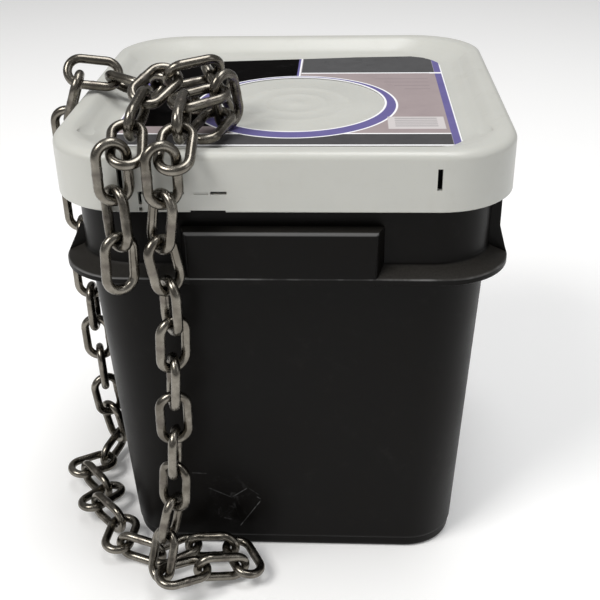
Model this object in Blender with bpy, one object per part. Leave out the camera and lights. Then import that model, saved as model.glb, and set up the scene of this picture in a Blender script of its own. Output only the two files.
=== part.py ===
# A length of welded steel chain, heaped on a square pail and hung over its edge to the floor.
# Metres, +Z up, the pail stands on z = 0 with its front toward -Y.
import math

import bmesh
import bpy
from mathutils import Matrix, Vector

MM = 0.001

# Chain: round wire bent to an oval link and welded on one leg
WIRE = 5.5 * MM
INNER_LENGTH = 24.9 * MM
INNER_WIDTH = 10.2 * MM
JOINT_GAP = 0.3 * MM
CROWN = (INNER_WIDTH + WIRE) / 2
LEG = INNER_LENGTH - INNER_WIDTH
REACH = 2 * CROWN - WIRE - JOINT_GAP
PITCH = LEG + REACH
CROWN_STEPS = 6
MOST_TURN = math.radians(100)

# Lid: a square plate with a skirt, a raised rim and a sunken panel
LID_HALF = 125 * MM
LID_CORNER = 42 * MM
RIM_TOP = 278 * MM
RIM_UNDERSIDE = 273.4 * MM
SKIRT_BOTTOM = 246 * MM
SKIRT_WALL = 3 * MM
PANEL_TOP = 270 * MM
PANEL_THICK = 3 * MM

# Cuts in the lid: two slots in the front, a groove on each side, and the tear strip with its notch
CUT_FRONT = -LID_HALF - 3 * MM
SLOT_X = 81.6 * MM
SLOT_HALF = 1.1 * MM
SLOT_LOW, SLOT_HIGH = 258.5 * MM, 269.5 * MM
SLOT_BACK = -118 * MM
GROOVE_X = 108.5 * MM
GROOVE_HALF = 1.5 * MM
GROOVE_FRONT, GROOVE_BACK = -90 * MM, 75 * MM
GROOVE_LOW = 274.2 * MM
TEAR_LEFT, TEAR_RIGHT = -72 * MM, -28 * MM
TEAR_LOW, TEAR_HIGH = 256.2 * MM, 257.6 * MM
TEAR_BACK = -LID_HALF + 1 * MM
NOTCH_LEFT = -46.5 * MM
NOTCH_TOP = SKIRT_BOTTOM + 2 * MM

# Label on the sunken panel
LABEL_HALF = 98 * MM
LABEL_CORNER = 36 * MM
LABEL_GAP = 0.3 * MM
LABEL_THICK = 0.4 * MM

# Pail: a tapered square tub with a sloping flange below its neck
BASE_HALF = 104 * MM
BASE_CORNER = 30 * MM
BASE_STEP = 8 * MM
SHOULDER_HALF = 113.6 * MM
FLANGE_HALF = 124.6 * MM
FLANGE_CORNER = 37.6 * MM
FLANGE_BOTTOM = 203.4 * MM
FLANGE_EDGE_TOP = 207.2 * MM
FLANGE_TOP = 212 * MM
NECK_HALF = 115.1 * MM
NECK_TOP = 273.1 * MM
PAIL_CORNER = 34 * MM
PAIL_WALL = 2.6 * MM
CORNER_STEPS = 6

# Raised panel on the pail's front, and the ribs on its sides
PANEL_FRONT_HALF = 50.5 * MM
PANEL_BACK_HALF = 55.5 * MM
PANEL_LOW, PANEL_HIGH = 203.4 * MM, 234 * MM
RIB_Y = 88 * MM
RIB_THICK = 3 * MM
RIB_FOOT = FLANGE_HALF - 0.6 * MM
RIB_TIP = 223.5 * MM
TALL_RIB_REACH = 119.6 * MM
TALL_RIB_TOP = 244 * MM


def clear_scene():
    for old in list(bpy.data.objects):
        bpy.data.objects.remove(old, do_unlink=True)


def new_collection(name, hidden=False):
    made = bpy.data.collections.new(name)
    bpy.context.scene.collection.children.link(made)
    made.hide_render = hidden
    return made


def material(name, colour, roughness, metallic=0.0):
    made = bpy.data.materials.new(name)
    made.use_nodes = True
    shader = made.node_tree.nodes["Principled BSDF"]
    shader.inputs["Base Color"].default_value = (*colour, 1.0)
    shader.inputs["Roughness"].default_value = roughness
    shader.inputs["Metallic"].default_value = metallic
    return made


def add_mesh(name, points, faces, home, finish=None):
    mesh = bpy.data.meshes.new(name)
    mesh.from_pydata(points, [], faces)
    mesh.validate()
    made = bpy.data.objects.new(name, mesh)
    if finish:
        mesh.materials.append(finish)
    home.objects.link(made)
    return made


def rounded_square(half, corner, z):
    """Points of a square outline with round corners, anticlockwise from above."""
    points = []
    for quarter in range(4):
        turn = Matrix.Rotation(quarter * math.pi / 2, 3, "Z")
        for step in range(CORNER_STEPS + 1):
            angle = math.pi / 2 * step / CORNER_STEPS
            x = half - corner + corner * math.cos(angle)
            y = half - corner + corner * math.sin(angle)
            points.append(tuple(turn @ Vector((x, y, z))))
    return points


def loft(name, rings, home, finish=None):
    """A solid skinned over a run of outlines, the first and last of them filled."""
    count = len(rings[0])
    points = [point for ring in rings for point in ring]
    faces = [list(range(count))[::-1]]
    for level in range(len(rings) - 1):
        low = level * count
        for k in range(count):
            after = (k + 1) % count
            faces.append((low + k, low + after, low + count + after, low + count + k))
    last = (len(rings) - 1) * count
    faces.append(list(range(last, last + count)))
    return add_mesh(name, points, faces, home, finish)


def box(name, low, high, home):
    """A block between two corners: a cube whose corners are pulled out to them."""
    shape = bmesh.new()
    bmesh.ops.create_cube(shape)
    for corner in shape.verts:
        corner.co = [high[k] if corner.co[k] > 0 else low[k] for k in range(3)]
    mesh = bpy.data.meshes.new(name)
    shape.to_mesh(mesh)
    shape.free()
    made = bpy.data.objects.new(name, mesh)
    home.objects.link(made)
    return made


def combine(target, other, operation):
    step = target.modifiers.new(other.name, "BOOLEAN")
    step.operation = operation
    step.solver = "EXACT"
    step.object = other
    other.hide_render = True
    other.display_type = "WIRE"


def lid(home, helpers, finish):
    """Underside first, from the middle out to the skirt, then up the outside and in to the panel."""
    inside = LID_HALF - SKIRT_WALL
    outline = [
        (96 * MM, PANEL_TOP - PANEL_THICK, 38 * MM),
        (101.5 * MM, PANEL_TOP - PANEL_THICK, 40 * MM),
        (109 * MM, PANEL_TOP + 1.3 * MM, 41 * MM),
        (111 * MM, RIM_UNDERSIDE, 41 * MM),
        (inside - 1.4 * MM, RIM_UNDERSIDE, LID_CORNER),
        (inside, RIM_UNDERSIDE - 2.4 * MM, LID_CORNER),
        (inside, SKIRT_BOTTOM, 41 * MM),
        (LID_HALF, SKIRT_BOTTOM, LID_CORNER),
        (LID_HALF, RIM_TOP - 5 * MM, LID_CORNER),
        (LID_HALF - 1.8 * MM, RIM_TOP - 1.2 * MM, LID_CORNER),
        (LID_HALF - 4 * MM, RIM_TOP, LID_CORNER),
        (LID_HALF - 9 * MM, RIM_TOP, LID_CORNER),
        (103 * MM, PANEL_TOP + 0.4 * MM, 40 * MM),
        (100 * MM, PANEL_TOP, 38 * MM),
    ]
    made = loft("lid", [rounded_square(half, corner, z) for half, z, corner in outline], home, finish)
    for side in (-1, 1):
        x = side * SLOT_X
        slot = box("slot", (x - SLOT_HALF, CUT_FRONT, SLOT_LOW),
                   (x + SLOT_HALF, SLOT_BACK, SLOT_HIGH), helpers)
        combine(made, slot, "DIFFERENCE")
        x = side * GROOVE_X
        groove = box("groove", (x - GROOVE_HALF, GROOVE_FRONT, GROOVE_LOW),
                     (x + GROOVE_HALF, GROOVE_BACK, RIM_TOP + 4 * MM), helpers)
        combine(made, groove, "DIFFERENCE")
    tear = box("tear", (TEAR_LEFT, CUT_FRONT, TEAR_LOW), (TEAR_RIGHT, TEAR_BACK, TEAR_HIGH), helpers)
    combine(made, tear, "DIFFERENCE")
    notch = box("notch", (NOTCH_LEFT, CUT_FRONT, SKIRT_BOTTOM - 2 * MM),
                (TEAR_RIGHT, SLOT_BACK, NOTCH_TOP), helpers)
    combine(made, notch, "DIFFERENCE")
    return made


def lid_label(home, finish):
    low = PANEL_TOP + LABEL_GAP
    rings = [rounded_square(LABEL_HALF, LABEL_CORNER, z) for z in (low, low + LABEL_THICK)]
    return loft("lid_label", rings, home, finish)


def pail_body(home, helpers, finish):
    """Outside up from the base, over the open top, then down inside to the floor of the tub."""
    neck_top_half = NECK_HALF + 0.4 * MM
    neck_corner = PAIL_CORNER + 0.6 * MM
    outline = [
        (BASE_HALF - 2 * MM, 0.0, BASE_CORNER),
        (BASE_HALF, 1.5 * MM, BASE_CORNER),
        (BASE_HALF, BASE_STEP, BASE_CORNER),
        (BASE_HALF + 1 * MM, BASE_STEP + 1.2 * MM, BASE_CORNER + 1 * MM),
        (SHOULDER_HALF, FLANGE_BOTTOM - 1 * MM, PAIL_CORNER),
        (FLANGE_HALF, FLANGE_BOTTOM, FLANGE_CORNER),
        (FLANGE_HALF, FLANGE_EDGE_TOP, FLANGE_CORNER),
        (NECK_HALF, FLANGE_TOP, neck_corner),
        (neck_top_half, NECK_TOP, neck_corner),
        (neck_top_half - PAIL_WALL, NECK_TOP, PAIL_CORNER - PAIL_WALL),
        (NECK_HALF - PAIL_WALL, FLANGE_TOP + 1 * MM, PAIL_CORNER - PAIL_WALL),
        (SHOULDER_HALF - PAIL_WALL, FLANGE_BOTTOM - 2 * MM, PAIL_CORNER - PAIL_WALL),
        (BASE_HALF + 1 * MM - PAIL_WALL, BASE_STEP + 2 * MM, BASE_CORNER - PAIL_WALL),
        (BASE_HALF - 6 * MM, 3.5 * MM, BASE_CORNER - 4 * MM),
    ]
    made = loft("pail_body", [rounded_square(half, corner, z) for half, z, corner in outline], home, finish)
    combine(made, front_panel(helpers), "UNION")
    for y in (-RIB_Y, RIB_Y):
        combine(made, rib(-1, y, SHORT_RIB, helpers), "UNION")
        combine(made, rib(1, y, TALL_RIB, helpers), "UNION")
    return made


def front_panel(home):
    """A raised panel whose ends slope in from the neck to its front."""
    rings = []
    for y, half in ((-NECK_HALF + 1.5 * MM, PANEL_BACK_HALF), (-FLANGE_HALF, PANEL_FRONT_HALF)):
        rings.append([(-half, y, PANEL_LOW), (half, y, PANEL_LOW),
                      (half, y, PANEL_HIGH), (-half, y, PANEL_HIGH)])
    return loft("front_panel", rings, home)


# Outlines of the ribs between the flange and the neck, (distance from the middle, height)
RIB_INNER = NECK_HALF - 1.2 * MM
RIB_ROOT = [(RIB_INNER, FLANGE_TOP - 4 * MM),
            (RIB_FOOT, FLANGE_EDGE_TOP - 2 * MM),
            (RIB_FOOT, FLANGE_EDGE_TOP + 0.4 * MM)]
SHORT_RIB = [*RIB_ROOT, (NECK_HALF + 0.8 * MM, RIB_TIP), (RIB_INNER, RIB_TIP)]
TALL_RIB = [*RIB_ROOT, (TALL_RIB_REACH, RIB_TIP), (TALL_RIB_REACH, TALL_RIB_TOP), (RIB_INNER, TALL_RIB_TOP)]


def rib(side, y, outline, home):
    """A flat plate across the side wall: its outline is filled and pulled out to its thickness."""
    shape = bmesh.new()
    face = shape.faces.new([shape.verts.new((side * x, y - RIB_THICK / 2, z)) for x, z in outline])
    grown = bmesh.ops.extrude_face_region(shape, geom=[face])
    far = [item for item in grown["geom"] if isinstance(item, bmesh.types.BMVert)]
    bmesh.ops.translate(shape, vec=(0.0, RIB_THICK, 0.0), verts=far)
    bmesh.ops.recalc_face_normals(shape, faces=shape.faces)
    mesh = bpy.data.meshes.new("rib")
    shape.to_mesh(mesh)
    shape.free()
    made = bpy.data.objects.new("rib", mesh)
    home.objects.link(made)
    return made


def link_curve():
    """Centreline of one link as a closed bevelled curve, long way along X, lying in the XY plane."""
    data = bpy.data.curves.new("link_curve", "CURVE")
    data.dimensions = "3D"
    data.bevel_depth = WIRE / 2
    data.bevel_resolution = 2
    points = []
    for side in (1, -1):
        for step in range(CROWN_STEPS + 1):
            angle = math.pi * (step / CROWN_STEPS - 0.5)
            x = side * (LEG / 2 + CROWN * math.cos(angle))
            points.append((x, side * CROWN * math.sin(angle), 0.0, 1.0))
    spline = data.splines.new("POLY")
    spline.points.add(len(points) - 1)
    for spot, point in zip(spline.points, points):
        spot.co = point
    spline.use_cyclic_u = True
    return data


def link_mesh(home):
    curve = bpy.data.objects.new("link_curve", link_curve())
    home.objects.link(curve)
    graph = bpy.context.evaluated_depsgraph_get()
    mesh = bpy.data.meshes.new_from_object(curve.evaluated_get(graph))
    mesh.name = "link"
    for face in mesh.polygons:
        face.use_smooth = True
    bpy.data.objects.remove(curve, do_unlink=True)
    return mesh


def clamp(angle):
    return max(-MOST_TURN, min(MOST_TURN, angle))


class Link:
    """Where one link lies: its centre, the way it runs and the way its flat side faces."""

    def __init__(self, centre, run, face):
        self.centre = Vector(centre)
        self.run = Vector(run).normalized()
        face = Vector(face)
        self.face = (face - self.run * face.dot(self.run)).normalized()

    @property
    def end(self):
        return self.centre + self.run * LEG / 2

    def following(self, aim, twist=0.0):
        """The next link: turned in this link's plane, then leaned in its own plane, to point at aim."""
        away = (aim - self.end).normalized()
        across = self.face.cross(self.run)
        turn = clamp(math.atan2(away.dot(across), away.dot(self.run)))
        ahead = self.run * math.cos(turn) + across * math.sin(turn)
        side = self.face.cross(ahead)
        rise = self.face * math.cos(twist) - side * math.sin(twist)
        start = self.end + ahead * REACH
        left = aim - start
        lean = clamp(math.atan2(left.dot(rise), left.dot(ahead)))
        run = ahead * math.cos(lean) + rise * math.sin(lean)
        return Link(start + run * LEG / 2, run, ahead.cross(rise))

    def matrix(self):
        across = self.face.cross(self.run)
        turn = Matrix((self.run, across, self.face)).transposed()
        return Matrix.Translation(self.centre) @ turn.to_4x4()


def string(first, aims):
    """Links that follow first, toward each aim (x, y, z, twist) in turn, as many as its distance needs."""
    links = [first]
    for aim in aims:
        point = Vector(aim[:3]) * MM
        twist = math.radians(aim[3]) if len(aim) > 3 else 0.0
        count = max(1, round((point - links[-1].end).length / PITCH))
        for _ in range(count):
            links.append(links[-1].following(point, twist))
    return links[1:]


# Two links seen crossed where the chain comes over the edge: one leans on the rim, one hangs from it
EDGE_LEAN = math.radians(26)
EDGE_LINK = Link(Vector((-51, -127, 281.6)) * MM,
                 (0, math.cos(EDGE_LEAN), math.sin(EDGE_LEAN)),
                 (0, -math.sin(EDGE_LEAN), math.cos(EDGE_LEAN)))
HANGING_RUN = (0, -0.05, -1)
HANGING_FACE = (-0.44, 0.9, 0)
HANGING_LINK = Link(Vector((-57.3, -135.7, 270.6)) * MM, HANGING_RUN, HANGING_FACE)

# Aims are (x, y, z) in mm, then where needed the twist of the link in degrees.
# From the rim into the heap, to the end of the chain that lies flat on the lid
HEAP_AIMS = [
    (-50.5, -96, 292.6), (-36, -77.5, 295), (-31, -68, 283.6), (-42, -90, 276.8),
]

# From the rim down the front, over the floor, up the left side, through the heap and back over the rim
FALL_AIMS = [
    (-60, -137, 238, -21), (-58.5, -137, 212, 2), (-59, -137, 189, 11), (-60, -136, 163, -4),
    (-62, -136, 140, 20), (-63, -136, 115), (-65, -136, 91, 20), (-67, -137, 67, 22),
    (-73, -140, 38, 0), (-77, -150, 16, 18), (-53, -145, 11, 20), (-28, -137, 12), (-38, -124, 14),
    (-62, -121, 12), (-84, -133, 12), (-104, -120.5, 12), (-110, -98, 12.5), (-125, -90, 14),
    (-127, -68, 12), (-141, -55, 12), (-135, -33, 12), (-133, -13, 14), (-135, -14, 34, -20),
    (-137, -15, 70, -23), (-137, -16, 120, -13), (-137, -16, 167), (-137, -16, 216),
    (-136.6, -18, 260), (-127.5, -21, 283), (-108, -11.4, 287), (-87, -22.2, 281), (-76, -38, 287),
    (-62, -41, 283), (-46, -42, 284), (-47, -57, 295.5), (-66.5, -73, 301.3), (-77, -93, 293.8),
    (-76, -112, 287.5, 8), (-75, -135, 277),
]

# The far end hangs from the last of those links, this far from its middle
FREE_DROP = Vector((-6.4, -9.1, -11.5)) * MM
FREE_AIMS = [
    (-83, -137, 237, -22), (-84, -137, 210, 12),
]


def chain(home, finish):
    mesh = link_mesh(home)
    mesh.materials.append(finish)
    heap = string(EDGE_LINK, HEAP_AIMS)
    fall = string(HANGING_LINK, FALL_AIMS)
    hung = Link(fall[-1].centre + FREE_DROP, HANGING_RUN, HANGING_FACE)
    free = string(hung, FREE_AIMS)
    places = [*reversed(heap), EDGE_LINK, HANGING_LINK, *fall, hung, *free]
    for number, place in enumerate(places, 1):
        made = bpy.data.objects.new(f"link_{number:02d}", mesh)
        made.matrix_world = place.matrix()
        home.objects.link(made)


def build():
    clear_scene()
    home = new_collection("pail_of_chain")
    helpers = new_collection("cutters", hidden=True)
    black = material("pail_black_plastic", (0.012, 0.012, 0.013), 0.42)
    white = material("lid_white_plastic", (0.72, 0.70, 0.64), 0.4)
    print_film = material("label_film", (0.30, 0.27, 0.34), 0.35)
    steel = material("chain_steel", (0.35, 0.33, 0.29), 0.38, 1.0)
    pail_body(home, helpers, black)
    lid(home, helpers, white)
    lid_label(home, print_film)
    chain(home, steel)


build()
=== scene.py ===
# Looks for a length of welded steel chain heaped on a square pail: finely modelled links, lid, label and
# pail in place of the plain CAD solids, with a pale floor and soft light.
import math
import random

import bmesh
import bpy
import numpy as np
from mathutils import Matrix, Vector


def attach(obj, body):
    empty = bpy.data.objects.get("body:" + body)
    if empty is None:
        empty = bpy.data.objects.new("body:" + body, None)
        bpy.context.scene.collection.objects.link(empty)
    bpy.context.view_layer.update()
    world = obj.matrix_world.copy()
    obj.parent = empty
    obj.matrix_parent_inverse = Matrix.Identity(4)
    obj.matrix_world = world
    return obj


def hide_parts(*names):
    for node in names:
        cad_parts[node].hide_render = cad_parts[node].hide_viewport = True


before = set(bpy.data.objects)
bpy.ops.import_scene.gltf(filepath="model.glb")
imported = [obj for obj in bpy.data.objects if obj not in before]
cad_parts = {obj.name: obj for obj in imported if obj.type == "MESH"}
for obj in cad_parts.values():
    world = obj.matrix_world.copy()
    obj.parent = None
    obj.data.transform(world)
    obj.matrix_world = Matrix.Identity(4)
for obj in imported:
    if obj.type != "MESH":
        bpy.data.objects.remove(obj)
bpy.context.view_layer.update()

MM = 0.001

# Chain link: its wire is a hair thinner than the CAD link's. Crown and leg are measured on the wire's middle
WIRE = 5.44 * MM
CROWN = 7.85 * MM
LEG = 14.7 * MM
CROWN_STEPS = 20
LEG_STEPS = 16
AROUND_WIRE = 20
WELD_HALF = 1.5 * MM
HEAT_HALF = 2.4 * WELD_HALF
WELD_SWELL = 0.07

# Lid, in mm: outside size, wall, and the heights of its skirt, rim, sunken panel and inner face
LID_HALF = 125.0
LID_CORNER = 42.0
LID_WALL = 3.0
SKIRT_BOTTOM = 246.0
RIM_TOP = 278.0
RIM_ROUND = 4.5
RIM_STEPS = 8
PANEL_TOP = 270.0
INNER_TOP = 273.4

# Label and the hole in it
LABEL_LOW = 270.3 * MM
LABEL_TOP = 270.7 * MM
LABEL_HOLE = Vector((3.5, -15.5)) * MM
LABEL_HOLE_RADIUS = 53.4 * MM

# Cuts in the lid's skirt, in mm: two slots, and the tear strip with its notch
CUT_FRONT, CUT_BACK = -128, -118
SLOT_X, SLOT_HALF, SLOT_LOW, SLOT_HIGH = 81.6, 1.3, 258.2, 269.8
NOTCH_LEFT, NOTCH_RIGHT, NOTCH_LOW, NOTCH_HIGH = -46.5, -28, 244, 247.2
# Left, right and how deep, of each dash along the strip's upper edge
TEAR_DASHES = ((-71.5, -49.0, 3.4), (-44.0, -36.5, 0.5), (-35.5, -27.0, 3.4))
TEAR_LOW, TEAR_HIGH = 256.0, 257.6
# Low and high of each dash down the strip's left end
END_DASHES = ((250.5, 257.6), (246.9, 248.9))
END_LEFT, END_RIGHT, END_BACK = -73.0, -71.3, -121.6

# Shallow channel in the slope inside the lid's rim, in mm
TROUGH_X, TROUGH_Z = 108.6, 274.7
TROUGH_HALF_WIDTH, TROUGH_HALF_DEPTH = 4.2, 1.1
TROUGH_TILT = math.radians(31)
TROUGH_STATIONS = ((-92, 0.4), (-86, 1.0), (70, 1.0), (76, 0.4))
TROUGH_STEPS = 24

# Rings moulded in the middle of the lid: radius and height in mm, outward from the gate pip
RING_PROFILE = ((3, 0.35), (4, 0.12), (16, 0.08), (17, 0.3), (19, 0.3), (20, 0.08), (30, 0.06), (31, 0.26),
                (33, 0.26), (34, 0.06), (50, 0.05), (51.5, 0.0))
RING_STEPS = 96

# Edge of the label, in mm, with cut corners at the back right
LABEL_OUTLINE = ((-92, -92), (91.5, -92), (95.0, -90.8), (96.4, -87.5), (96.4, 66), (95.6, 73), (92, 80),
                 (86, 86.5), (78, 90), (40, 88), (4, 84), (-70, 77), (-80, 74), (-92, 60), (-96, 52),
                 (-97, -86), (-95.5, -90.5))
LABEL_EDGE_STEP = 5 * MM
LABEL_HOLE_STEPS = 160
# The printed ring lies a little in front of the hole, so that it shows as a crescent
CRESCENT_Y = -19.5
INK_EDGE = 0.25

# Pail, in mm
BASE_HALF = 104.0
BASE_CORNER = 30.0
SHOULDER_HALF = 113.6
FLANGE_HALF = 124.6
FLANGE_CORNER = 37.6
NECK_HALF = 115.1
NECK_CORNER = 34.6
PAIL_WALL = 2.6
WALL_FOOT = 10.0
WALL_RISE = 191.5
WALL_STEPS = 7
PANEL_FRONT_HALF = 50.5
PANEL_BACK_HALF = 55.5
PAIL_RIM = 273.1
FLANGE_LOW, FLANGE_TOP = 203.4, 207.3
PANEL_LOW, PANEL_HIGH = FLANGE_LOW, 234.0
RIB_Y = 88.0
RIB_HALF = 1.5
RIB_TIP = 223.5
TALL_RIB_REACH, TALL_RIB_TOP = 119.6, 244.0
CORNER_STEPS = 14

# Floor, half its side in metres, and light
FLOOR_HALF = 9.0
FLOOR_GLOW = 0.10
WORLD_STRENGTH = 0.28

# Camera that took the photograph
CAMERA_PLACE = Vector((34.69, -583.14, 445.93)) * MM
CAMERA_YAW = math.radians(-3.13)
CAMERA_PITCH = math.radians(28.70)
CAMERA_ROLL = math.radians(1.10)
CAMERA_LENS = 57.96
SENSOR = 36.0


# Shader nodes and materials


class Shader:
    """A Principled material and short ways to add nodes to it."""

    def __init__(self, name):
        self.material = bpy.data.materials.new(name)
        self.material.use_nodes = True
        self.tree = self.material.node_tree
        self.surface = self.tree.nodes["Principled BSDF"]
        self.place = self.node("ShaderNodeTexCoord").outputs["Object"]

    def node(self, kind, **settings):
        made = self.tree.nodes.new(kind)
        for key, value in settings.items():
            setattr(made, key, value)
        return made

    def feed(self, socket, value):
        if isinstance(value, bpy.types.NodeSocket):
            self.tree.links.new(value, socket)
        elif isinstance(value, tuple) and len(value) == 3 and socket.type == "RGBA":
            socket.default_value = (*value, 1.0)
        else:
            socket.default_value = value

    def maths(self, operation, *values):
        made = self.node("ShaderNodeMath", operation=operation)
        for socket, value in zip(made.inputs, values):
            self.feed(socket, value)
        return made.outputs[0]

    def noise(self, scale, detail, roughness, place=None, stretch=None, distortion=0.0):
        made = self.node("ShaderNodeTexNoise")
        spot = place or self.place
        if stretch:
            spot = self.stretched(spot, stretch)
        self.feed(made.inputs["Vector"], spot)
        made.inputs["Scale"].default_value = scale
        made.inputs["Detail"].default_value = detail
        made.inputs["Roughness"].default_value = roughness
        made.inputs["Distortion"].default_value = distortion
        return made.outputs["Fac"]

    def stretched(self, spot, scale, turn=(0.0, 0.0, 0.0)):
        made = self.node("ShaderNodeMapping")
        self.feed(made.inputs["Vector"], spot)
        made.inputs["Scale"].default_value = scale
        made.inputs["Rotation"].default_value = turn
        return made.outputs[0]

    def spread(self, value, low, high, to_low=0.0, to_high=1.0):
        """value's stretch from low to high, mapped smoothly to another."""
        made = self.node("ShaderNodeMapRange", interpolation_type="SMOOTHSTEP")
        for socket, number in zip(made.inputs, (value, low, high, to_low, to_high)):
            self.feed(socket, number)
        return made.outputs[0]

    def mix(self, share, first, second):
        made = self.node("ShaderNodeMix", data_type="RGBA")
        self.feed(made.inputs["Factor"], share)
        self.feed(made.inputs["A"], first)
        self.feed(made.inputs["B"], second)
        return made.outputs["Result"]

    def attribute(self, name):
        return self.node("ShaderNodeAttribute", attribute_name=name).outputs["Fac"]

    def split(self):
        made = self.node("ShaderNodeSeparateXYZ")
        self.feed(made.inputs[0], self.place)
        return made.outputs

    def bump(self, height, strength, distance, under=None):
        made = self.node("ShaderNodeBump")
        made.inputs["Strength"].default_value = strength
        made.inputs["Distance"].default_value = distance
        self.feed(made.inputs["Height"], height)
        if under:
            self.feed(made.inputs["Normal"], under)
        return made.outputs[0]

    def finish(self, **values):
        for name, value in values.items():
            self.feed(self.surface.inputs[name.replace("_", " ")], value)
        return self.material


def chain_steel():
    """Self-coloured steel: mill scale worn by rubbing, specks of rust and a heat mark at the weld."""
    s = Shader("chain_steel")
    tone = s.attribute("tone")
    weld = s.attribute("weld")
    worn = s.attribute("worn")
    cloud = s.noise(120.0, 4.0, 0.55)
    grain = s.noise(1400.0, 3.0, 0.7)
    streak = s.noise(420.0, 4.0, 0.6, stretch=(1.0, 1.0, 0.35))
    bare = s.spread(s.maths("ADD", cloud, s.maths("MULTIPLY", worn, 0.15)), 0.38, 0.70)
    scale_colour = s.mix(grain, (0.082, 0.074, 0.062), (0.145, 0.131, 0.110))
    bare_colour = s.mix(streak, (0.170, 0.157, 0.134), (0.285, 0.265, 0.230))
    colour = s.mix(bare, scale_colour, bare_colour)
    colour = s.mix(s.spread(tone, 0.0, 1.0, 0.0, 0.30), colour, (0.26, 0.24, 0.205))
    heat = s.mix(grain, (0.060, 0.054, 0.052), (0.17, 0.145, 0.125))
    colour = s.mix(s.maths("MULTIPLY", weld, 0.6), colour, heat)
    rust = s.spread(s.noise(260.0, 6.0, 0.7, distortion=0.4), 0.66, 0.76)
    colour = s.mix(s.maths("MULTIPLY", rust, 0.30), colour, (0.15, 0.08, 0.04))
    rough = s.spread(s.maths("ADD", s.maths("MULTIPLY", grain, 0.5), s.maths("MULTIPLY", cloud, 0.5)),
                     0.3, 0.7, 0.17, 0.32)
    rough = s.maths("ADD", rough, s.maths("MULTIPLY", weld, 0.12))
    fine = s.bump(grain, 0.20, 0.05 * MM)
    dents = s.bump(s.noise(330.0, 3.0, 0.5), 0.30, 0.14 * MM, fine)
    return s.finish(Base_Color=colour, Metallic=1.0, Roughness=rough, Normal=dents)


# Scratches low on the pail's front: (x, z) to (x, z) in mm, half width, strength
SCRATCHES = (
    ((-18.8, 38.6), (-33.3, 16.0), 0.35, 0.55), ((-18.6, 39.5), (-21.6, 42.0), 0.5, 0.45),
    ((-37.1, 41.0), (-26.8, 49.0), 0.40, 0.40), ((-37.4, 41.0), (-52.2, 48.8), 0.6, 0.20),
    ((-51.5, 60.4), (-62.0, 60.8), 0.6, 0.14), ((-43.8, 23.3), (-37.5, 21.6), 0.7, 0.22),
    ((-46.1, 31.6), (-46.5, 25.0), 0.35, 0.16), ((-27.0, 49.5), (-19.5, 43.0), 0.5, 0.10),
    ((-45.4, 58.3), (-43.9, 57.4), 0.8, 0.18),
)


def pail_plastic():
    """Black polyethylene: satin, rippled by the mould, dusty on its ledges, which also carry a painted sheen,
    with painted highlights along the flange's lip and the front panel's upper edge, and scratched low on the
    front.
    """
    s = Shader("pail_black_plastic")
    x, y, z = s.split()
    cloud = s.noise(18.0, 5.0, 0.6)
    fine = s.noise(900.0, 3.0, 0.6)
    ripple = s.noise(46.0, 2.0, 0.4, stretch=(1.0, 1.0, 0.25))
    dust = s.spread(s.noise(70.0, 6.0, 0.7), 0.54, 0.84, 0.0, 0.035)
    colour = s.mix(cloud, (0.0014, 0.0013, 0.0013), (0.0040, 0.0031, 0.0024))
    colour = s.mix(dust, colour, (0.16, 0.15, 0.14))
    # Up-facing faces are lightened towards (0.15, 0.14, 0.125) and roughened: partly dust settled on the
    # ledges, partly a painted sheen standing in for overhead light on the flange's top.
    facing = s.node("ShaderNodeSeparateXYZ")
    s.feed(facing.inputs[0], s.node("ShaderNodeNewGeometry").outputs["Normal"])
    ledge_dust_and_sheen = s.maths("MULTIPLY", s.spread(facing.outputs["Z"], 0.5, 0.9), s.spread(fine, 0.2, 0.7, 0.6, 1.0))
    colour = s.mix(s.maths("MULTIPLY", ledge_dust_and_sheen, 0.16), colour, (0.15, 0.14, 0.125))
    # Painted highlights: thin bands along the flange's lip and along the front panel's upper edge are
    # lightened towards grey, standing in for light caught on these rounded edges.
    lip_highlight = band(s, z, FLANGE_TOP - 0.8, FLANGE_TOP, 0.25)
    lip_highlight = s.maths("MULTIPLY", lip_highlight, s.spread(cloud, 0.42, 0.56, 0.15, 1.0))
    panel_face = s.spread(y, (1.0 - FLANGE_HALF) * MM, (1.8 - FLANGE_HALF) * MM, 1.0, 0.0)
    panel_edge_highlight = s.maths("MULTIPLY", band(s, z, PANEL_HIGH - 1.4, PANEL_HIGH + 0.1, 0.5), panel_face)
    painted_edge_highlights = s.maths("MAXIMUM", s.maths("MULTIPLY", lip_highlight, 0.5), s.maths("MULTIPLY", panel_edge_highlight, 0.45))
    front = s.spread(y, -100 * MM, -90 * MM, 1.0, 0.0)
    broken = s.spread(s.noise(420.0, 4.0, 0.7), 0.38, 0.60, 0.25, 1.0)
    marks = blob(s, (-38, -110, 38), (24, 30, 26), 0.9)
    smudge = s.spread(s.noise(110.0, 5.0, 0.7, distortion=1.2), 0.50, 0.70, 0.0, 0.10)
    marks = s.maths("MULTIPLY", marks, smudge)
    for start, end, half, strength in SCRATCHES:
        line = s.maths("MULTIPLY", segment(s, x, z, start, end, half), strength)
        marks = s.maths("MAXIMUM", marks, s.maths("MULTIPLY", line, broken))
    # The painted edge highlights join the scratches here and lighten the black with them.
    marks = s.maths("MAXIMUM", s.maths("MULTIPLY", marks, front), painted_edge_highlights)
    colour = s.mix(marks, colour, (0.26, 0.26, 0.26))
    rough = s.spread(s.maths("ADD", s.maths("MULTIPLY", cloud, 0.7), s.maths("MULTIPLY", fine, 0.3)),
                     0.3, 0.7, 0.30, 0.46)
    rough = s.maths("ADD", rough, s.maths("MULTIPLY", ledge_dust_and_sheen, 0.15))
    grain = s.bump(fine, 0.10, 0.05 * MM)
    wave = s.bump(ripple, 0.18, 0.8 * MM, grain)
    s.surface.inputs["Specular IOR Level"].default_value = 0.5
    return s.finish(Base_Color=colour, Roughness=rough, Normal=wave, IOR=1.2)


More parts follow.
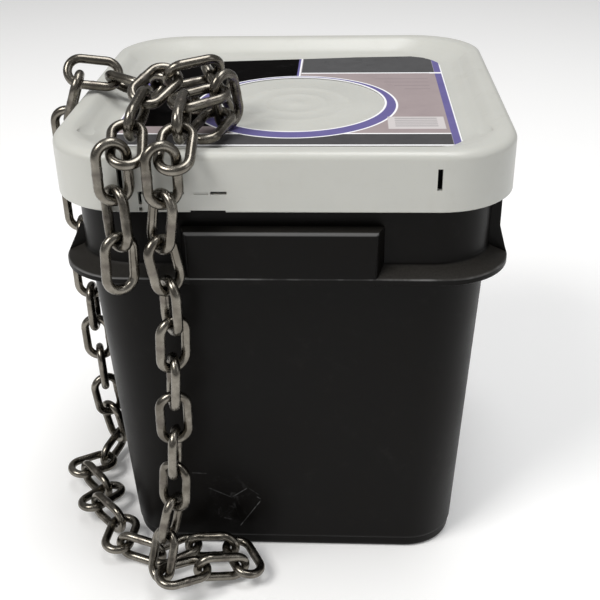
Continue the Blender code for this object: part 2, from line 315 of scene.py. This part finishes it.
def band(s, value, low, high, soft):
    """1 where value, a coordinate, lies between low and high mm."""
    rise = s.spread(value, (low - soft) * MM, (low + soft) * MM)
    return s.maths("MULTIPLY", rise, s.spread(value, (high - soft) * MM, (high + soft) * MM, 1.0, 0.0))


def segment(s, across, up, start, end, half):
    """1 along a straight line in the plane of two coordinates, given in mm."""
    (x0, z0), (x1, z1) = [tuple(v * MM for v in spot) for spot in (start, end)]
    dx, dz = x1 - x0, z1 - z0
    length = math.hypot(dx, dz)
    ux, uz = dx / length, dz / length
    along = s.maths("ADD", s.maths("MULTIPLY", across, ux), s.maths("MULTIPLY", up, uz))
    along = s.maths("SUBTRACT", along, x0 * ux + z0 * uz)
    aside = s.maths("SUBTRACT", s.maths("MULTIPLY", across, -uz), s.maths("MULTIPLY", up, -ux))
    aside = s.maths("SUBTRACT", aside, -x0 * uz + z0 * ux)
    near = s.spread(s.maths("ABSOLUTE", aside), 0.2 * half * MM, half * MM, 1.0, 0.0)
    fade = 1.5 * MM
    inside = s.maths("MULTIPLY", s.spread(along, 0.0, fade), s.spread(along, length - fade, length, 1.0, 0.0))
    return s.maths("MULTIPLY", near, inside)


def thin_line(s, value, level, width):
    """1 along the contour of value at level, 0 elsewhere."""
    away = s.maths("ABSOLUTE", s.maths("SUBTRACT", value, level))
    return s.spread(away, 0.0, width, 1.0, 0.0)


def blob(s, centre, radii, soft):
    """1 inside an ellipsoid given in mm, fading out over the share soft of its radius."""
    moved = s.node("ShaderNodeVectorMath", operation="SUBTRACT")
    s.feed(moved.inputs[0], s.place)
    moved.inputs[1].default_value = Vector(centre) * MM
    scaled = s.node("ShaderNodeVectorMath", operation="DIVIDE")
    s.feed(scaled.inputs[0], moved.outputs[0])
    scaled.inputs[1].default_value = Vector(radii) * MM
    length = s.node("ShaderNodeVectorMath", operation="LENGTH")
    s.feed(length.inputs[0], scaled.outputs[0])
    return s.spread(length.outputs["Value"], 1.0 - soft, 1.0, 1.0, 0.0)


def lid_plastic():
    """Off-white polyethylene: slightly translucent, waxy, with faint grime and rub marks."""
    s = Shader("lid_white_plastic")
    cloud = s.noise(22.0, 5.0, 0.6)
    fine = s.noise(700.0, 3.0, 0.6)
    grime = s.spread(s.noise(60.0, 7.0, 0.72), 0.50, 0.78)
    colour = s.mix(cloud, (0.470, 0.472, 0.438), (0.530, 0.532, 0.500))
    colour = s.mix(s.maths("MULTIPLY", grime, 0.22), colour, (0.40, 0.39, 0.35))
    rub = s.noise(24.0, 2.0, 0.5, place=s.stretched(s.place, (1.0, 9.0, 9.0), (0.0, 0.0, 0.5)))
    marks = s.maths("MULTIPLY", thin_line(s, rub, 0.5, 0.006), s.spread(s.noise(17.0, 3.0, 0.6), 0.55, 0.70))
    colour = s.mix(s.maths("MULTIPLY", marks, 0.35), colour, (0.36, 0.35, 0.32))
    rough = s.spread(s.maths("ADD", s.maths("MULTIPLY", cloud, 0.6), s.maths("MULTIPLY", grime, 0.4)),
                     0.2, 0.8, 0.30, 0.48)
    grain = s.bump(fine, 0.10, 0.05 * MM)
    wave = s.bump(s.noise(55.0, 3.0, 0.5), 0.22, 0.6 * MM, grain)
    s.surface.inputs["Subsurface Weight"].default_value = 0.12
    s.surface.inputs["Subsurface Radius"].default_value = (4.0 * MM, 3.5 * MM, 3.0 * MM)
    s.surface.inputs["Subsurface Scale"].default_value = 1.0
    return s.finish(Base_Color=colour, Roughness=rough, Normal=wave, IOR=1.5)


class Print:
    """Masks for flat printed shapes, in mm on the lid."""

    def __init__(self, shader):
        self.s = shader
        self.x, self.y, _ = shader.split()

    def block(self, left, right, low, high):
        across = band(self.s, self.x, left, right, INK_EDGE)
        return self.s.maths("MULTIPLY", across, band(self.s, self.y, low, high, INK_EDGE))

    def disc(self, x, y, radius):
        dx = self.s.maths("SUBTRACT", self.x, x * MM)
        dy = self.s.maths("SUBTRACT", self.y, y * MM)
        square = self.s.maths("ADD", self.s.maths("MULTIPLY", dx, dx), self.s.maths("MULTIPLY", dy, dy))
        distance = self.s.maths("SQRT", square)
        return self.s.spread(distance, (radius - INK_EDGE) * MM, (radius + INK_EDGE) * MM, 1.0, 0.0)


def label_print():
    """Printed film in plain bands of colour: no words, pictures or codes."""
    s = Shader("label_film")
    p = Print(s)
    white = (0.80, 0.80, 0.82)
    purple = s.mix(s.noise(90.0, 4.0, 0.6), (0.105, 0.092, 0.235), (0.150, 0.134, 0.300))
    mauve = s.mix(s.noise(60.0, 4.0, 0.6), (0.270, 0.225, 0.230), (0.340, 0.290, 0.292))
    black = s.mix(s.noise(60.0, 4.0, 0.6), (0.0015, 0.0014, 0.0014), (0.0045, 0.004, 0.004))
    grey = s.mix(s.noise(120.0, 4.0, 0.6), (0.060, 0.060, 0.062), (0.095, 0.095, 0.098))
    dark = s.mix(s.noise(120.0, 4.0, 0.6), (0.050, 0.049, 0.052), (0.085, 0.083, 0.086))
    # Blocks are left, right, low and high. Past stands for a place beyond the label's edge
    past = 200
    side = 91.4
    hole_x, hole_y = LABEL_HOLE / MM
    layers = [
        (p.block(-95.8, 95.7, -90.8, past), purple),
        (p.block(-93, side, -past, 100), mauve),
        (p.block(-past, side, -past, -72.0), white),
        (p.block(-past, side, -90.6, -73.5), dark),
        (p.block(4, side, 47.2, past), white),
        (p.block(4, side, 49.2, past), grey),
        (p.block(88, past, 46.6, 49.4), white),
        (p.block(-past, 3.6, 6, past), white),
        (p.block(-past, 2.6, 6, past), purple),
        (p.block(-past, 1.2, 30, past), black),
        (p.block(-92, 1.2, -60, 70), black),
        (p.disc(hole_x, CRESCENT_Y, 61.2), white),
        (p.disc(hole_x, CRESCENT_Y, 60.0), purple),
        (p.disc(hole_x, hole_y, 54.6), white),
        (p.block(57.5, 89.5, -65, -43.5), (0.52, 0.49, 0.49)),
    ]
    colour = white
    for mask, ink in layers:
        colour = s.mix(mask, colour, ink)
    for step in range(5):
        rule = p.block(61.5, 85.5, -60.5 + step * 3.4, -59.5 + step * 3.4)
        colour = s.mix(s.maths("MULTIPLY", rule, 0.8), colour, (0.10, 0.10, 0.11))
    for step in range(4):
        rule = p.block(52 + step * 6, 86, 34 - step * 7.5, 34.7 - step * 7.5)
        colour = s.mix(s.maths("MULTIPLY", rule, 0.6), colour, (0.16, 0.13, 0.15))
    rub = s.spread(s.noise(85.0, 6.0, 0.7), 0.56, 0.80, 0.0, 0.03)
    colour = s.mix(rub, colour, (0.55, 0.54, 0.55))
    rough = s.spread(s.noise(60.0, 5.0, 0.6), 0.3, 0.7, 0.26, 0.42)
    wrinkle = s.bump(s.noise(38.0, 3.0, 0.5), 0.22, 0.6 * MM)
    s.surface.inputs["Specular IOR Level"].default_value = 0.08
    return s.finish(Base_Color=colour, Roughness=rough, Normal=wrinkle, IOR=1.05)


# Meshes


def add_object(name, points, faces, material, smooth=True):
    mesh = bpy.data.meshes.new(name)
    mesh.from_pydata([tuple(p) for p in points], [], faces)
    mesh.validate()
    if smooth:
        mesh.shade_smooth()
    mesh.materials.append(material)
    made = bpy.data.objects.new(name, mesh)
    bpy.context.scene.collection.objects.link(made)
    return made


def rounded_square(half, corner, z):
    """The outline of a square with round corners, at height z."""
    points = []
    for quarter in range(4):
        turn = Matrix.Rotation(quarter * math.pi / 2, 3, "Z")
        for step in range(CORNER_STEPS + 1):
            angle = math.pi / 2 * step / CORNER_STEPS
            x = half - corner + corner * math.cos(angle)
            y = half - corner + corner * math.sin(angle)
            points.append(turn @ Vector((x, y, z)))
    return points


def arc(centre, radius, start, end, steps):
    """(half, z) points of a quarter round in a profile, angles in degrees."""
    points = []
    for step in range(steps + 1):
        angle = math.radians(start + (end - start) * step / steps)
        points.append((centre[0] + radius * math.cos(angle), centre[1] + radius * math.sin(angle)))
    return points


def skin(name, rings, material):
    """A closed solid skinned over a run of outlines."""
    count = len(rings[0])
    points = [point for ring in rings for point in ring]
    faces = [list(range(count))[::-1]]
    for level in range(len(rings) - 1):
        low = level * count
        for k in range(count):
            after = (k + 1) % count
            faces.append((low + k, low + after, low + count + after, low + count + k))
    last = (len(rings) - 1) * count
    faces.append(list(range(last, last + count)))
    return add_object(name, points, faces, material)


def profile_solid(name, profile, material):
    """profile is (half, z, corner) in mm, from the underside's middle round to the upper side's."""
    rings = [rounded_square(half * MM, corner * MM, z * MM) for half, z, corner in profile]
    return skin(name, rings, material)


def helper(name, points, faces):
    """A plain solid for a Boolean, from points in mm."""
    mesh = bpy.data.meshes.new(name)
    mesh.from_pydata([tuple(Vector(p) * MM) for p in points], [], faces)
    made = bpy.data.objects.new(name, mesh)
    bpy.context.scene.collection.objects.link(made)
    return made


def cutter(low, high):
    """A block between two corners in mm."""
    shape = bmesh.new()
    bmesh.ops.create_cube(shape)
    for corner in shape.verts:
        corner.co = [(high[k] if corner.co[k] > 0 else low[k]) * MM for k in range(3)]
    mesh = bpy.data.meshes.new("cutter")
    shape.to_mesh(mesh)
    shape.free()
    made = bpy.data.objects.new("cutter", mesh)
    bpy.context.scene.collection.objects.link(made)
    return made


def carve(target, tool, operation="DIFFERENCE"):
    """Applies a Boolean at once and deletes the tool."""
    step = target.modifiers.new("carve", "BOOLEAN")
    step.operation = operation
    step.solver = "EXACT"
    step.object = tool
    bake_modifiers(target)
    bpy.data.objects.remove(tool, do_unlink=True)


def bake_modifiers(target):
    graph = bpy.context.evaluated_depsgraph_get()
    old = target.data
    target.data = bpy.data.meshes.new_from_object(target.evaluated_get(graph))
    target.modifiers.clear()
    bpy.data.meshes.remove(old)


def soften_edges(target, width, angle=35.0):
    """Small rounds on the sharp edges, and normals that stay flat on the flat faces."""
    bevel = target.modifiers.new("bevel", "BEVEL")
    bevel.width = width
    bevel.segments = 2
    bevel.limit_method = "ANGLE"
    bevel.angle_limit = math.radians(angle)
    bake_modifiers(target)
    target.data.shade_smooth()
    weighted = target.modifiers.new("normals", "WEIGHTED_NORMAL")
    weighted.weight = 60


def finish_piece(piece, slot, *nodes):
    """Puts a visible piece in the place of its CAD nodes."""
    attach(piece, "root")
    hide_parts(*nodes)


# The chain


def link_path():
    """Points round the link's centreline: a crown and a leg, twice."""
    points = []
    for side in (1, -1):
        for step in range(CROWN_STEPS):
            angle = math.pi * (step / CROWN_STEPS - 0.5)
            x = side * (LEG / 2 + CROWN * math.cos(angle))
            points.append(Vector((x, side * CROWN * math.sin(angle), 0)))
        for step in range(LEG_STEPS):
            points.append(Vector((side * LEG * (0.5 - step / LEG_STEPS), side * CROWN, 0)))
    return points


def link_mesh(number, steel):
    """One link lying in the XY plane, welded in the middle of the leg at -Y."""
    rng = random.Random(1000 + number)
    path = link_path()
    count = len(path)
    points, weld, worn = [], [], []
    offset = rng.uniform(-0.5, 0.5) * MM
    for k, spot in enumerate(path):
        along = (path[(k + 1) % count] - path[k - 1]).normalized()
        out = along.cross(Vector((0, 0, 1)))
        on_welded_leg = spot.y < -CROWN * 0.98
        away = abs(spot.x - offset) if on_welded_leg else math.inf
        near_weld = max(0.0, 1 - away / WELD_HALF)
        swell = near_weld * near_weld * (3 - 2 * near_weld)
        crown_share = max(0.0, abs(spot.x) - LEG / 2) / CROWN
        for step in range(AROUND_WIRE):
            angle = 2 * math.pi * step / AROUND_WIRE
            ridge = swell * WELD_SWELL * (0.4 + 0.6 * abs(math.cos(angle + 0.4)))
            radius = WIRE / 2 * (1 + ridge)
            inward = max(0.0, -math.cos(angle))
            radius *= 1 - 0.02 * inward * crown_share
            points.append(spot + (out * math.cos(angle) + Vector((0, 0, 1)) * math.sin(angle)) * radius)
            weld.append(max(0.0, 1 - away / HEAT_HALF))
            worn.append(crown_share * (0.35 + 0.65 * inward))
    faces = []
    for k in range(count):
        for step in range(AROUND_WIRE):
            after = (step + 1) % AROUND_WIRE
            low, high = k * AROUND_WIRE, (k + 1) % count * AROUND_WIRE
            faces.append((low + step, low + after, high + after, high + step))
    made = add_object(f"chain_{number:02d}", points, faces, steel)
    for name, values in (("weld", weld), ("worn", worn), ("tone", [rng.random()] * len(points))):
        made.data.attributes.new(name, "FLOAT", "POINT").data.foreach_set("value", values)
    return made


def place_of(node):
    """Where a CAD link lies, from its own mesh: its middle, and its length, width and flat side as axes."""
    spots = np.array([v.co for v in node.data.vertices])
    middle = spots.mean(axis=0)
    _, _, axes = np.linalg.svd(spots - middle, full_matrices=False)
    run, across = Vector(axes[0]), Vector(axes[1])
    return Vector(middle), run, across, run.cross(across)


def chain():
    steel = chain_steel()
    rng = random.Random(7)
    names = sorted(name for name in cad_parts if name.startswith("link_"))
    for number, name in enumerate(names, 1):
        middle, run, across, face = place_of(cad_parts[name])
        piece = link_mesh(number, steel)
        if rng.random() < 0.5:
            across, face = -across, -face
        turn = Matrix((run, across, face)).transposed().to_4x4()
        piece.data.transform(Matrix.Translation(middle) @ turn)
        finish_piece(piece, "chain_steel", name)


# The lid and its label


def lid_profile():
    """The lid's section, from the middle of its underside out, round the rim and in over the panel."""
    inner = LID_HALF - LID_WALL
    under = PANEL_TOP - LID_WALL
    profile = [(60.0, under, 30.0), (101.5, under, 40.0), (109.0, 271.3, 41.0), (111.0, INNER_TOP, 41.0),
               (inner - 1.4, INNER_TOP, LID_CORNER), (inner, 271.0, LID_CORNER),
               (inner, SKIRT_BOTTOM + 0.3, 41.0), (inner + 0.4, SKIRT_BOTTOM, 41.0),
               (LID_HALF - 0.6, SKIRT_BOTTOM, LID_CORNER), (LID_HALF, SKIRT_BOTTOM + 0.7, LID_CORNER),
               (LID_HALF, 260.0, LID_CORNER)]
    rim = arc((LID_HALF - RIM_ROUND, RIM_TOP - RIM_ROUND), RIM_ROUND, 0, 90, RIM_STEPS)
    profile += [(half, z, LID_CORNER) for half, z in rim]
    slope = [(117.0, RIM_TOP), (115.2, 277.6), (113.2, 276.5), (110.5, 274.7), (107.0, 272.6), (104.5, 271.2),
             (102.3, 270.4), (100.0, PANEL_TOP)]
    profile += [(half, z, 40.0 + (half - 100.0) * 0.12) for half, z in slope]
    return profile + [(95.0, PANEL_TOP, 37.0), (60.0, PANEL_TOP, 30.0)]


def lid():
    made = profile_solid("lid_moulding", lid_profile(), lid_plastic())
    for x in (-SLOT_X, SLOT_X):
        carve(made, cutter((x - SLOT_HALF, CUT_FRONT, SLOT_LOW), (x + SLOT_HALF, CUT_BACK, SLOT_HIGH)))
    carve(made, cutter((NOTCH_LEFT, CUT_FRONT, NOTCH_LOW), (NOTCH_RIGHT, CUT_BACK, NOTCH_HIGH)))
    for left, right, depth in TEAR_DASHES:
        carve(made, cutter((left, -LID_HALF - 2, TEAR_LOW), (right, -LID_HALF + depth, TEAR_HIGH)))
    for low, high in END_DASHES:
        carve(made, cutter((END_LEFT, -LID_HALF - 2, low), (END_RIGHT, END_BACK, high)))
    for side in (-1, 1):
        carve(made, trough(side))
    soften_edges(made, 0.3 * MM)
    finish_piece(made, "lid_plastic", "lid")


def trough(side):
    """A long flat oval bar that cuts the shallow channel on one side of the lid."""
    slant, rise = math.cos(TROUGH_TILT), math.sin(TROUGH_TILT)
    points = []
    for y, share in TROUGH_STATIONS:
        for step in range(TROUGH_STEPS):
            angle = 2 * math.pi * step / TROUGH_STEPS
            along = TROUGH_HALF_WIDTH * share * math.cos(angle)
            deep = TROUGH_HALF_DEPTH * share * math.sin(angle)
            x = TROUGH_X + along * slant - deep * rise
            points.append((side * x, y, TROUGH_Z + along * rise + deep * slant))
    last = len(points) - TROUGH_STEPS
    faces = [list(range(TROUGH_STEPS))[::-1], list(range(last, len(points)))]
    for low in range(0, last, TROUGH_STEPS):
        high = low + TROUGH_STEPS
        for k in range(TROUGH_STEPS):
            after = (k + 1) % TROUGH_STEPS
            faces.append((low + k, low + after, high + after, high + k))
    if side > 0:
        faces = [tuple(reversed(face)) for face in faces]
    return helper("trough", points, faces)


def lid_rings():
    """Faint moulded rings and a gate pip in the middle of the lid, seen through the hole in the label."""
    points = []
    for radius, height in RING_PROFILE:
        for step in range(RING_STEPS):
            angle = 2 * math.pi * step / RING_STEPS
            x = LABEL_HOLE.x + radius * MM * math.cos(angle)
            y = LABEL_HOLE.y + radius * MM * math.sin(angle)
            points.append((x, y, (PANEL_TOP + height) * MM))
    pip_height = RING_PROFILE[0][1]
    points.append((LABEL_HOLE.x, LABEL_HOLE.y, (PANEL_TOP + pip_height) * MM))
    faces = []
    for low in range(0, (len(RING_PROFILE) - 1) * RING_STEPS, RING_STEPS):
        high = low + RING_STEPS
        for k in range(RING_STEPS):
            after = (k + 1) % RING_STEPS
            faces.append((low + k, high + k, high + after, low + after))
    faces += [(len(points) - 1, k, (k + 1) % RING_STEPS) for k in range(RING_STEPS)]
    made = add_object("lid_centre_rings", points, faces, bpy.data.materials["lid_white_plastic"])
    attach(made, "root")


def label_edge():
    """Points round the label's outline, closely spaced."""
    corners = [Vector(corner) * MM for corner in LABEL_OUTLINE]
    around = []
    for k, corner in enumerate(corners):
        after = corners[(k + 1) % len(corners)]
        pieces = max(1, round((after - corner).length / LABEL_EDGE_STEP))
        around += [corner.lerp(after, t / pieces) for t in range(pieces)]
    return around


def label_hole():
    """Points round the hole in the label."""
    turns = [2 * math.pi * k / LABEL_HOLE_STEPS for k in range(LABEL_HOLE_STEPS)]
    return [LABEL_HOLE + LABEL_HOLE_RADIUS * Vector((math.cos(turn), math.sin(turn))) for turn in turns]


def label():
    """A film with a round hole."""
    shape = bmesh.new()
    low, high = [], []
    for z, loops in ((LABEL_LOW, low), (LABEL_TOP, high)):
        for loop in (label_edge(), label_hole()):
            loops.append([shape.verts.new((p.x, p.y, z)) for p in loop])
    for loops in (low, high):
        edges = []
        for loop in loops:
            edges += [shape.edges.new((loop[k], loop[(k + 1) % len(loop)])) for k in range(len(loop))]
        bmesh.ops.triangle_fill(shape, use_beauty=True, edges=edges)
    for lower, upper in zip(low, high):
        for k in range(len(lower)):
            after = (k + 1) % len(lower)
            shape.faces.new((lower[k], lower[after], upper[after], upper[k]))
    bmesh.ops.recalc_face_normals(shape, faces=shape.faces)
    mesh = bpy.data.meshes.new("label_sheet")
    shape.to_mesh(mesh)
    shape.free()
    mesh.materials.append(label_print())
    made = bpy.data.objects.new("label_sheet", mesh)
    bpy.context.scene.collection.objects.link(made)
    finish_piece(made, "label_film", "lid_label")


# The pail


def pail_profile():
    """The pail's section, from under its base up the outside, over its rim and down the inside."""
    base, shoulder, flange, neck = BASE_HALF, SHOULDER_HALF, FLANGE_HALF, NECK_HALF
    foot, foot_corner = base + 1.0, BASE_CORNER + 1
    profile = [(base - 3.0, 0.0, BASE_CORNER - 2), (base - 1.2, 0.4, BASE_CORNER),
               (base - 0.2, 1.6, BASE_CORNER), (base, 3.0, BASE_CORNER), (base, 7.2, BASE_CORNER),
               (base + 0.35, 8.0, BASE_CORNER), (base + 0.9, 8.8, BASE_CORNER + 0.6),
               (foot, WALL_FOOT, foot_corner)]
    for step in range(1, WALL_STEPS + 1):
        share = step / WALL_STEPS
        half = foot + (shoulder - foot) * share
        profile.append((half, WALL_FOOT + WALL_RISE * share, foot_corner + 3 * share))
    profile += [(shoulder + 0.3, FLANGE_LOW - 0.8, 34.2), (shoulder + 1.4, FLANGE_LOW - 0.2, 34.8),
                (flange - 0.5, FLANGE_LOW, FLANGE_CORNER), (flange, FLANGE_LOW + 0.5, FLANGE_CORNER),
                (flange, FLANGE_TOP - 0.6, FLANGE_CORNER), (flange - 0.5, FLANGE_TOP, FLANGE_CORNER),
                (neck + 2.0, 210.9, 35.2), (neck + 0.7, 211.8, 34.8), (neck, 213.2, NECK_CORNER),
                (neck + 0.2, 240.0, NECK_CORNER), (neck + 0.4, PAIL_RIM - 0.5, NECK_CORNER),
                (neck - 0.1, PAIL_RIM, NECK_CORNER)]
    profile += [(neck + 0.9 - PAIL_WALL, PAIL_RIM, 31.6), (neck + 0.4 - PAIL_WALL, PAIL_RIM - 0.5, 31.4),
                (neck - PAIL_WALL, 213.0, 31.4), (shoulder - PAIL_WALL, 201.4, 31.4),
                (foot - PAIL_WALL, WALL_FOOT, 27.4), (base - 3.5, 4.5, 26.5), (base - 8, 3.5, 25.0)]
    return profile


def pail():
    made = profile_solid("pail_tub", pail_profile(), pail_plastic())
    carve(made, front_panel(), "UNION")
    for side in (-1, 1):
        for y in (-RIB_Y, RIB_Y):
            carve(made, rib(side, y), "UNION")
    soften_edges(made, 0.7 * MM, 38.0)
    finish_piece(made, "pail_plastic", "pail_body")


def front_panel():
    """The raised panel on the front: its ends slope in from the neck, and its upper edge is rounded."""
    points = []
    for y, half, high in ((-NECK_HALF + 1.5, PANEL_BACK_HALF, PANEL_HIGH),
                          (-FLANGE_HALF + 1.2, PANEL_FRONT_HALF + 1.0, PANEL_HIGH),
                          (-FLANGE_HALF, PANEL_FRONT_HALF - 0.6, PANEL_HIGH - 1.4)):
        points += [(-half, y, PANEL_LOW), (half, y, PANEL_LOW), (half, y, high), (-half, y, high)]
    faces = [(3, 2, 1, 0), (8, 9, 10, 11)]
    for low in (0, 4):
        faces += [(low + k, low + (k + 1) % 4, low + 4 + (k + 1) % 4, low + 4 + k) for k in range(4)]
    return helper("front_panel", points, faces)


def rib(side, y):
    """A web from the flange to the neck; on the right it goes on up to the lid."""
    outline = [(NECK_HALF - 1.2, 208.0), (FLANGE_HALF - 0.6, 205.2), (FLANGE_HALF - 0.6, 207.6)]
    if side < 0:
        outline += [(NECK_HALF + 0.8, RIB_TIP), (NECK_HALF - 1.2, RIB_TIP)]
    else:
        outline += [(TALL_RIB_REACH, RIB_TIP), (TALL_RIB_REACH, TALL_RIB_TOP),
                    (NECK_HALF - 1.2, TALL_RIB_TOP)]
    points = [(side * x, y + way * RIB_HALF, z) for way in (-1, 1) for x, z in outline]
    count = len(outline)
    faces = [list(range(count)), list(range(2 * count - 1, count - 1, -1))]
    faces += [(k, k + count, (k + 1) % count + count, (k + 1) % count) for k in range(count)]
    if side < 0:
        faces = [tuple(reversed(face)) for face in faces]
    return helper("rib", points, faces)


# Floor, light and camera


def floor():
    s = Shader("studio_floor")
    tone = s.mix(s.noise(3.0, 3.0, 0.5), (0.955, 0.955, 0.955), (0.97, 0.97, 0.968))
    white = (1.0, 1.0, 1.0)
    material = s.finish(Base_Color=tone, Roughness=0.85, Emission_Color=white, Emission_Strength=FLOOR_GLOW)
    corners = [(x * FLOOR_HALF, y * FLOOR_HALF, 0) for x, y in ((-1, -1), (1, -1), (1, 1), (-1, 1))]
    add_object("floor", corners, [(0, 1, 2, 3)], material, smooth=False)


def area_light(name, place, aim, size, power, colour=(1.0, 1.0, 1.0)):
    data = bpy.data.lights.new(name, "AREA")
    data.shape = "RECTANGLE"
    data.size, data.size_y = size
    data.energy = power
    data.color = colour
    made = bpy.data.objects.new(name, data)
    made.location = place
    made.rotation_mode = "QUATERNION"
    made.rotation_quaternion = (Vector(aim) - Vector(place)).to_track_quat("-Z", "Y")
    bpy.context.scene.collection.objects.link(made)


def lights():
    world = bpy.data.worlds.new("studio")
    bpy.context.scene.world = world
    world.use_nodes = True
    back = world.node_tree.nodes["Background"]
    back.inputs["Color"].default_value = (1.0, 1.0, 1.0, 1.0)
    back.inputs["Strength"].default_value = WORLD_STRENGTH
    middle = (0.0, 0.0, 0.2)
    area_light("key", (-1.1, -1.0, 1.9), middle, (0.9, 0.9), 31.0, (1.0, 0.985, 0.96))
    area_light("fill", (1.5, -0.8, 1.2), middle, (0.6, 1.2), 2.5, (0.97, 0.985, 1.0))
    area_light("top", (0.3, 0.1, 2.2), middle, (1.6, 0.8), 25.0)


def camera():
    ahead = math.cos(CAMERA_PITCH)
    forward = Vector((math.sin(CAMERA_YAW) * ahead, math.cos(CAMERA_YAW) * ahead, -math.sin(CAMERA_PITCH)))
    level = Vector((math.cos(CAMERA_YAW), -math.sin(CAMERA_YAW), 0.0))
    down = forward.cross(level)
    right = level * math.cos(CAMERA_ROLL) + down * math.sin(CAMERA_ROLL)
    down = down * math.cos(CAMERA_ROLL) - level * math.sin(CAMERA_ROLL)
    data = bpy.data.cameras.new("camera")
    data.lens = CAMERA_LENS
    data.sensor_width = SENSOR
    data.clip_start, data.clip_end = 0.01, 40.0
    made = bpy.data.objects.new("camera", data)
    turn = Matrix((right, -down, -forward)).transposed().to_4x4()
    made.matrix_world = Matrix.Translation(CAMERA_PLACE) @ turn
    bpy.context.scene.collection.objects.link(made)
    bpy.context.scene.camera = made
    bpy.context.scene.view_settings.view_transform = "Standard"


camera()
lights()
floor()
pail()
lid()
lid_rings()
label()
chain()
